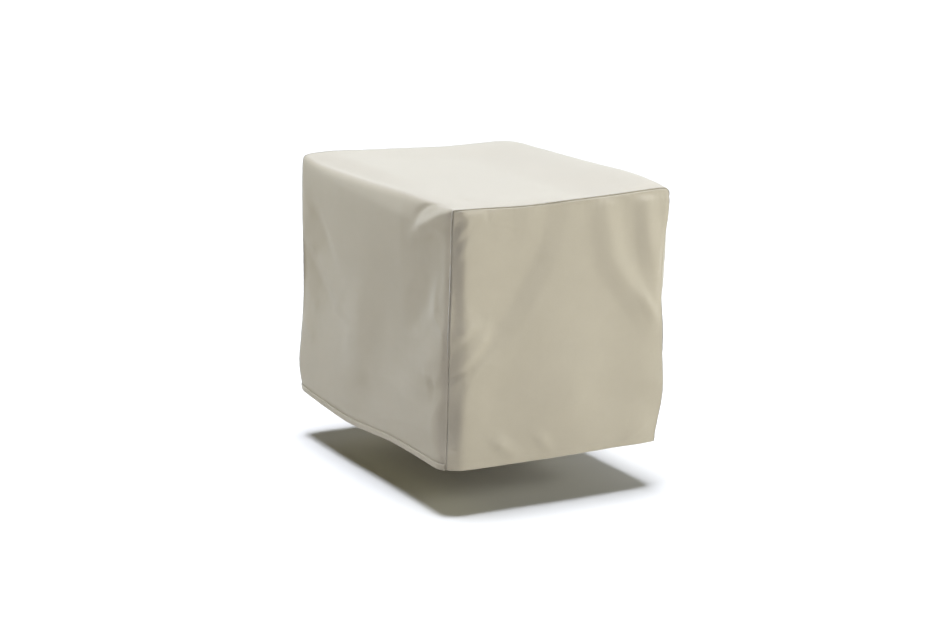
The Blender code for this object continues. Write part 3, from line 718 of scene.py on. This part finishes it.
def strip_sheet(cover):
    """The strip: its surface between the two seams, both edges turned in and both hems folded up."""
    sheet = Sheet()
    place = cover.section_stations(STRIP_SPACING)
    far = even_stations(cover.length, STRIP_SPACING)[1:-1]
    seams = [Seam(cover, FRONT, place), Seam(cover, BACK, place)]
    turned = [seam.turned_rows(seam.strip_away, seam.toward_strip) for seam in seams]
    middle = cover.strip_surface(place[None, :], far[:, None])
    grid = np.concatenate([turned[0][:1], middle, turned[1][:1]])
    far_rows = np.concatenate([[0.0], far, [cover.length]])
    index = sheet.add(grid, flat_grid(far_rows, place))
    sheet.join(index)
    beyond = np.arange(1, len(turned[0])) * cover.seam_bend
    front = sheet.add(turned[0][1:], flat_grid(-beyond, place))
    sheet.join(np.concatenate([index[:1], front])[::-1])
    back = sheet.add(turned[1][1:], flat_grid(cover.length + beyond, place))
    sheet.join(np.concatenate([index[-1:], back]))
    rows, outward = np.swapaxes(grid, 0, 1), -np.swapaxes(grid_normals(grid), 0, 1)
    left_up, right_up = place + cover.drop, cover.width + cover.drop - place
    for step, edge, up, apart in ((1, 0, left_up, 0.0), (-1, -1, right_up, CUT_APART)):
        inner, inner_up = hem_under(cover, rows[::step], up[::step], outward[::step])
        added = sheet.add(inner, flat_grid(apart - inner_up, far_rows)[..., ::-1])
        sheet.join(np.concatenate([index[None, :, edge], added])[::-step])
    return sheet


def panel_grid(cover, side, edge, down, top):
    """The panel between its three seams and its hem: x and z as the sum of the two straight spreads
    between the four edges less that of the corners, and y from the panel's field."""
    last = len(down) - 1
    left = edge[last::-1]
    head = edge[last:last + len(top)]
    right = edge[last + len(top) - 1:]
    share = (top / cover.width)[None, :, None]
    depth = (down / cover.drop)[:, None, None]
    foot = left[-1] * (1 - share[0]) + right[-1] * share[0]
    foot[:, 2] = -amount_at(side.hem, foot[:, 0] + cover.width / 2)
    foot[0], foot[-1] = left[-1], right[-1]
    sides = left[:, None] * (1 - share) + right[:, None] * share
    ends = head[None] * (1 - depth) + foot[None] * depth
    corners = (1 - depth) * (head[0] * (1 - share) + head[-1] * share)
    corners = corners + depth * (foot[0] * (1 - share) + foot[-1] * share)
    grid = sides + ends - corners
    inner = grid[1:, 1:-1]
    inner[..., 1] = cover.y_at(side, inner[..., 0], inner[..., 2])
    return grid


def panel_sheet(cover, side):
    """One panel: its grid, three sewn edges turned in as one run, and its hem folded up."""
    sheet = Sheet()
    down = stations(cover.drop, *PANEL_SPACING)
    top = even_stations(cover.width, PANEL_SPACING)
    place = cover.section_stations(PANEL_SPACING)
    seam = Seam(cover, side, place)
    turned = seam.turned_rows(seam.panel_away, -seam.toward_strip)
    grid = panel_grid(cover, side, turned[0], down, top)
    index = sheet.add(grid, flat_grid(down, top))
    edge = np.concatenate([index[:0:-1, 0], index[0], index[1:, -1]])
    added = sheet.add(turned[1:], flat_grid(-np.arange(1, len(turned)) * cover.seam_bend, place))
    outer = np.concatenate([edge[None], added])
    outward = turned_to(grid_normals(grid), (0.0, side.facing, 0.0))
    inner, inner_up = hem_under(cover, grid[::-1, 1:-1], cover.drop - down[::-1], outward[::-1, 1:-1])
    under = sheet.add(inner, flat_grid(cover.drop + CUT_APART - inner_up, top[1:-1]))
    lower = np.concatenate([index[-1:, 1:-1], under])
    for part in (index[::-1], outer, lower[::-1]):
        sheet.join(part if side is FRONT else part[::-1])
    return sheet


def stitch_shapes(run, cover):
    """Points and faces of a run of stitches, each a bar with rounded ends along the hem: rings of a
    radius that follows the root of one less the fourth power of the share along, on a bowed line."""
    centres, ahead, outward = (rows[:, None, None] for rows in run)
    ring = np.linspace(-0.5, 0.5, STITCH_RINGS)[:, None, None]
    angle = (np.arange(STITCH_SIDES) * 2 * np.pi / STITCH_SIDES)[:, None]
    radius = cover.stitch_thick / 2 * np.sqrt(np.maximum(1.0 - (2 * ring) ** 4, STITCH_END))
    length = cover.stitch_pitch * STITCH_LENGTH
    bow = cover.stitch_thick * STITCH_BOW * (1 - (2 * ring) ** 2)
    spoke = np.cross(outward, ahead) * np.cos(angle) + outward * np.sin(angle)
    points = centres + ahead * (ring * length) + outward * bow + spoke * radius
    index = np.arange(points.size // 3).reshape(points.shape[:3])
    wrapped = np.concatenate([index, index[:, :, :1]], axis=2)
    near, beyond = wrapped[:, :-1], wrapped[:, 1:]
    faces = np.stack([near[:, :, :-1], near[:, :, 1:], beyond[:, :, 1:], beyond[:, :, :-1]], axis=-1)
    caps = index[:, 0, ::-1].tolist() + index[:, -1].tolist()
    return points.reshape(-1, 3), faces.reshape(-1, 4).tolist() + caps


def stitch_run(surface, start, stop, cover, way_out):
    """Centres, directions and outward normals of stitches on a surface, a function of the place along
    a line and the height above it. The normal is the cross product of the slopes along and up."""
    count = int((stop - start) / cover.stitch_pitch)
    along = start + (np.arange(count) + 0.5) * (stop - start) / count
    ahead = unit(surface(along + SLOPE_STEP, 0.0) - surface(along - SLOPE_STEP, 0.0))
    upward = unit(surface(along, SLOPE_STEP) - surface(along, -SLOPE_STEP))
    outward = turned_to(unit(np.cross(ahead, upward)), way_out)
    return surface(along, 0.0) - outward * cover.stitch_thick * STITCH_SUNK, ahead, outward


def feed(node, inputs):
    """Gives each input of a node its value, or the output that feeds it."""
    for name, value in inputs.items():
        if isinstance(value, bpy.types.NodeSocket):
            node.id_data.links.new(value, node.inputs[name])
        else:
            node.inputs[name].default_value = value


def add_node(tree, kind, inputs, **settings):
    """A node with its settings and its inputs."""
    node = tree.nodes.new("ShaderNode" + kind)
    for name, value in settings.items():
        setattr(node, name, value)
    feed(node, inputs)
    return node


def new_material(name):
    """A material of that name, and its main shader."""
    material = bpy.data.materials.new(name)
    material.use_nodes = True
    return material, material.node_tree.nodes["Principled BSDF"]


def mixed(tree, share, first, last, **settings):
    """The first value or colour, mixed with a share of the last."""
    return add_node(tree, "Mix", {"Factor": share, "A": first, "B": last}, **settings).outputs["Result"]


def cloth_material(colours):
    """Coated plain-woven cloth, its yarns in relief with painted shade where they dip between each other and
    a faint painted highlight on their crowns, its dye and coat softly uneven.
    A yarn's crown is the size of a sine across the cut, and a chequer says which of the two
    directions lies on top."""
    material, shader = new_material("coated_weave")
    tree = material.node_tree
    cut = add_node(tree, "UVMap", {}, uv_map="cut")
    counted = {0: cut.outputs["UV"], "Scale": 1.0 / colours.weave_pitch}
    yarns = add_node(tree, "VectorMath", counted, operation="SCALE").outputs[0]
    parts = add_node(tree, "SeparateXYZ", {0: yarns})
    crowns = []
    for axis in ("X", "Y"):
        turn = add_node(tree, "Math", {0: parts.outputs[axis], 1: math.pi}, operation="MULTIPLY")
        sine = add_node(tree, "Math", {0: turn.outputs[0]}, operation="SINE")
        crowns.append(add_node(tree, "Math", {0: sine.outputs[0]}, operation="ABSOLUTE").outputs[0])
    over = add_node(tree, "TexChecker", {
        "Vector": yarns, "Scale": 1.0, "Color1": (1.0, 1.0, 1.0, 1.0), "Color2": (0.0, 0.0, 0.0, 1.0)})
    weave = mixed(tree, over.outputs["Color"], *crowns, data_type="FLOAT")
    relief = add_node(tree, "Bump", {"Height": weave, "Distance": colours.weave_depth, "Strength": 0.6})
    place = add_node(tree, "TexCoord", {})
    dye = add_node(tree, "TexNoise", {
        "Vector": place.outputs["Object"], "Scale": 14.0, "Detail": 5.0, "Roughness": 0.6})
    slub = add_node(tree, "TexNoise", {"Vector": yarns, "Scale": 0.55, "Detail": 2.0})
    both = mixed(tree, 0.45, dye.outputs["Fac"], slub.outputs["Fac"], data_type="FLOAT")
    spread = add_node(tree, "MapRange", {"Value": both, "From Min": 0.35, "From Max": 0.65})
    yarn = mixed(
        tree, spread.outputs["Result"], (*colours.shade, 1.0), (*colours.cloth, 1.0), data_type="RGBA")
    # Painted shade and highlight: the yarn colour is darkened where the weave dips between yarns and
    # lightened a little on their crowns.
    painted_weave_shade = add_node(tree, "MapRange", {"Value": weave, "To Min": 0.86, "To Max": 1.04})
    between = mixed(tree, 1.0, yarn, painted_weave_shade.outputs["Result"], data_type="RGBA", blend_type="MULTIPLY")
    coat = add_node(tree, "MapRange", {"Value": dye.outputs["Fac"], "To Min": 0.52, "To Max": 0.68})
    feed(shader, {
        "Base Color": between, "Roughness": coat.outputs["Result"],
        "Normal": relief.outputs["Normal"], "Specular IOR Level": 0.35, "Sheen Weight": 0.32,
        "Sheen Roughness": 0.45, "Sheen Tint": (0.84, 0.92, 1.0, 1.0)})
    return material


def thread_material(colours):
    """Twisted sewing thread: fine slanting ply in relief."""
    material, shader = new_material("sewing_thread")
    tree = material.node_tree
    place = add_node(tree, "TexCoord", {})
    ply = add_node(tree, "TexNoise", {"Vector": place.outputs["Object"], "Scale": 2500.0})
    relief = add_node(tree, "Bump", {"Height": ply.outputs["Fac"], "Distance": 0.0001})
    feed(shader, {
        "Base Color": (*colours.thread, 1.0), "Roughness": 0.6, "Normal": relief.outputs["Normal"]})
    return material


def kept_material(context, name, make):
    """The material of that name, made once."""
    return bpy.data.materials.get(name) or make(context.scene.cover_colours)


def settle(piece, node=None):
    """The piece rides on the cover's body and may stand for a node."""
    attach(piece, BODY)
    if node:
        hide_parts(node)


def stitches(context, name, surface, start, stop, way_out):
    """The row of hem stitches on one piece, clear of its seams at both ends."""
    cover = context.scene.cover_sizes
    thread = kept_material(context, "sewing_thread", thread_material)
    margin = 2 * cover.seam_bend
    run = stitch_run(surface, start + margin, stop - margin, cover, way_out)
    piece = make_piece(name, cover, *stitch_shapes(run, cover), thread)
    settle(piece)
    return piece


def panel_stitches(context, name, side):
    """Hem stitches on a panel: across it, at their height above the hem."""
    cover = context.scene.cover_sizes

    def surface(along, above):
        """A place on the panel."""
        z = -amount_at(side.hem, along) + STITCH_UP + above
        return cover.panel_surface(side, along - cover.width / 2, z)

    left, right = (corner_at(table, X_IN, np.array([cover.drop]))[0] for table in (side.left, side.right))
    return stitches(context, name, surface, left, cover.width - right, (0.0, side.facing, 0.0))


def strip_stitches(context, name, right):
    """Hem stitches on one end of the strip: from seam to seam, at their height above the hem."""
    cover = context.scene.cover_sizes

    def surface(along, above):
        """A place on the strip."""
        from_hem = np.full_like(along, STITCH_UP + above)
        place = cover.width + cover.drop - from_hem if right else from_hem - cover.drop
        return cover.strip_surface(place, along)

    return stitches(context, name, surface, 0.0, cover.length, (1.0 if right else -1.0, 0.0, 0.0))


class COVER_OT_body_strip(bpy.types.Operator):
    """Make the strip: left drop, top and right drop in one piece, with its hem stitches"""
    bl_idname = "cover.body_strip"
    bl_label = "Body strip"

    def execute(self, context):
        cover = context.scene.cover_sizes
        cloth = kept_material(context, "coated_weave", cloth_material)
        piece = strip_sheet(cover).object("body_strip_cloth", cover, cloth)
        settle(piece, "body_strip")
        left = strip_stitches(context, "left_hem_stitches", False)
        right = strip_stitches(context, "right_hem_stitches", True)
        return {"FINISHED"}


def make_panel(context, side, node, piece_name, stitch_name):
    """One end panel with its hem stitches."""
    cover = context.scene.cover_sizes
    cloth = kept_material(context, "coated_weave", cloth_material)
    piece = panel_sheet(cover, side).object(piece_name, cover, cloth)
    settle(piece, node)
    row = panel_stitches(context, stitch_name, side)
    return {"FINISHED"}


class COVER_OT_front_panel(bpy.types.Operator):
    """Make the front panel and its hem stitches"""
    bl_idname = "cover.front_panel"
    bl_label = "Front panel"

    def execute(self, context):
        return make_panel(context, FRONT, "front_panel", "front_panel_cloth", "front_hem_stitches")


class COVER_OT_back_panel(bpy.types.Operator):
    """Make the back panel and its hem stitches"""
    bl_idname = "cover.back_panel"
    bl_label = "Back panel"

    def execute(self, context):
        return make_panel(context, BACK, "back_panel", "back_panel_cloth", "back_hem_stitches")


def hang(name, power, lamp):
    """A light facing back along the way to it. A sun stands anywhere, and a square box stands off the
    cover's middle, its energy being the power wanted there times pi times the distance squared."""
    light = bpy.data.lights.new(name, lamp.kind)
    light.color = lamp.colour
    holder = link_new(name, light)
    way = Vector(lamp.way)
    holder.rotation_euler = way.to_track_quat("Z", "Y").to_euler()
    if lamp.kind == "SUN":
        light.energy = power
        light.angle = math.radians(lamp.wide)
    else:
        light.energy = power * math.pi * BOX_DISTANCE ** 2
        light.size = lamp.wide
        holder.location = BOX_AIM + way.normalized() * BOX_DISTANCE


class COVER_OT_stage(bpy.types.Operator):
    """Make the floor, the camera and the lights"""
    bl_idname = "cover.stage"
    bl_label = "Stage"

    def execute(self, context):
        scene = context.scene
        stage = scene.cover_stage
        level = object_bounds()[0][2] - stage.floor_below_hem
        mesh = bpy.data.meshes.new("floor")
        corners = ((-1, -1), (1, -1), (1, 1), (-1, 1))
        mesh.from_pydata([(x * FLOOR_HALF, y * FLOOR_HALF, level) for x, y in corners], [], [range(4)])
        material, shader = new_material("studio_floor")
        feed(shader, {
            "Base Color": (*stage.floor_colour, 1.0), "Roughness": 0.9, "Specular IOR Level": 0.0})
        mesh.materials.append(material)
        link_new("floor", mesh)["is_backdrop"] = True
        camera = link_new("camera", bpy.data.cameras.new("camera"))
        camera.data.lens = stage.camera_lens
        camera.data.clip_end = CAMERA_REACH
        turn = Matrix.Rotation(stage.camera_turn, 4, "Z")
        dip = Matrix.Rotation(math.pi / 2 - stage.camera_dip, 4, "X")
        roll = Matrix.Rotation(stage.camera_roll, 4, "Z")
        camera.matrix_world = Matrix.Translation(stage.camera_place) @ turn @ dip @ roll
        scene.camera = camera
        hang("overhead", stage.overhead, OVERHEAD)
        hang("back", stage.back_light, FROM_BACK)
        hang("left", stage.left_light, LEFT_BOX)
        hang("right", stage.right_light, RIGHT_BOX)
        scene.world = bpy.data.worlds.new("studio")
        scene.world.use_nodes = True
        feed(scene.world.node_tree.nodes["Background"], {
            "Color": (1.0, 1.0, 1.0, 1.0), "Strength": stage.surround})
        scene.view_settings.view_transform = "Standard"
        return {"FINISHED"}


class COVER_PT_sidebar(bpy.types.Panel):
    """Lists the pieces of the cover and their sizes"""
    bl_idname = "COVER_PT_sidebar"
    bl_label = "Side Table Cover"
    bl_space_type = "VIEW_3D"
    bl_region_type = "UI"
    bl_category = "Cover"

    def draw(self, context):
        for operator in OPERATORS:
            self.layout.operator(operator.bl_idname)
        for name, group in GROUPS.items():
            box = self.layout.box()
            for key in group.__annotations__:
                box.prop(getattr(context.scene, name), key)


OPERATORS = (COVER_OT_body_strip, COVER_OT_front_panel, COVER_OT_back_panel, COVER_OT_stage)
GROUPS = {"cover_sizes": CoverSizes, "cover_colours": CoverColours, "cover_stage": CoverStage}
CLASSES = (*GROUPS.values(), *OPERATORS, COVER_PT_sidebar)


def register():
    """Adds the classes, and their groups of properties to the scene."""
    for item in CLASSES:
        bpy.utils.register_class(item)
    for name, group in GROUPS.items():
        setattr(bpy.types.Scene, name, bpy.props.PointerProperty(type=group))


def unregister():
    """Takes away what was added, in the opposite order."""
    for name in GROUPS:
        delattr(bpy.types.Scene, name)
    for item in reversed(CLASSES):
        bpy.utils.unregister_class(item)


def main():
    """Makes every piece and the stage."""
    register()
    bpy.ops.cover.body_strip()
    bpy.ops.cover.front_panel()
    bpy.ops.cover.back_panel()
    bpy.ops.cover.stage()


if __name__ == "__main__":
    main()
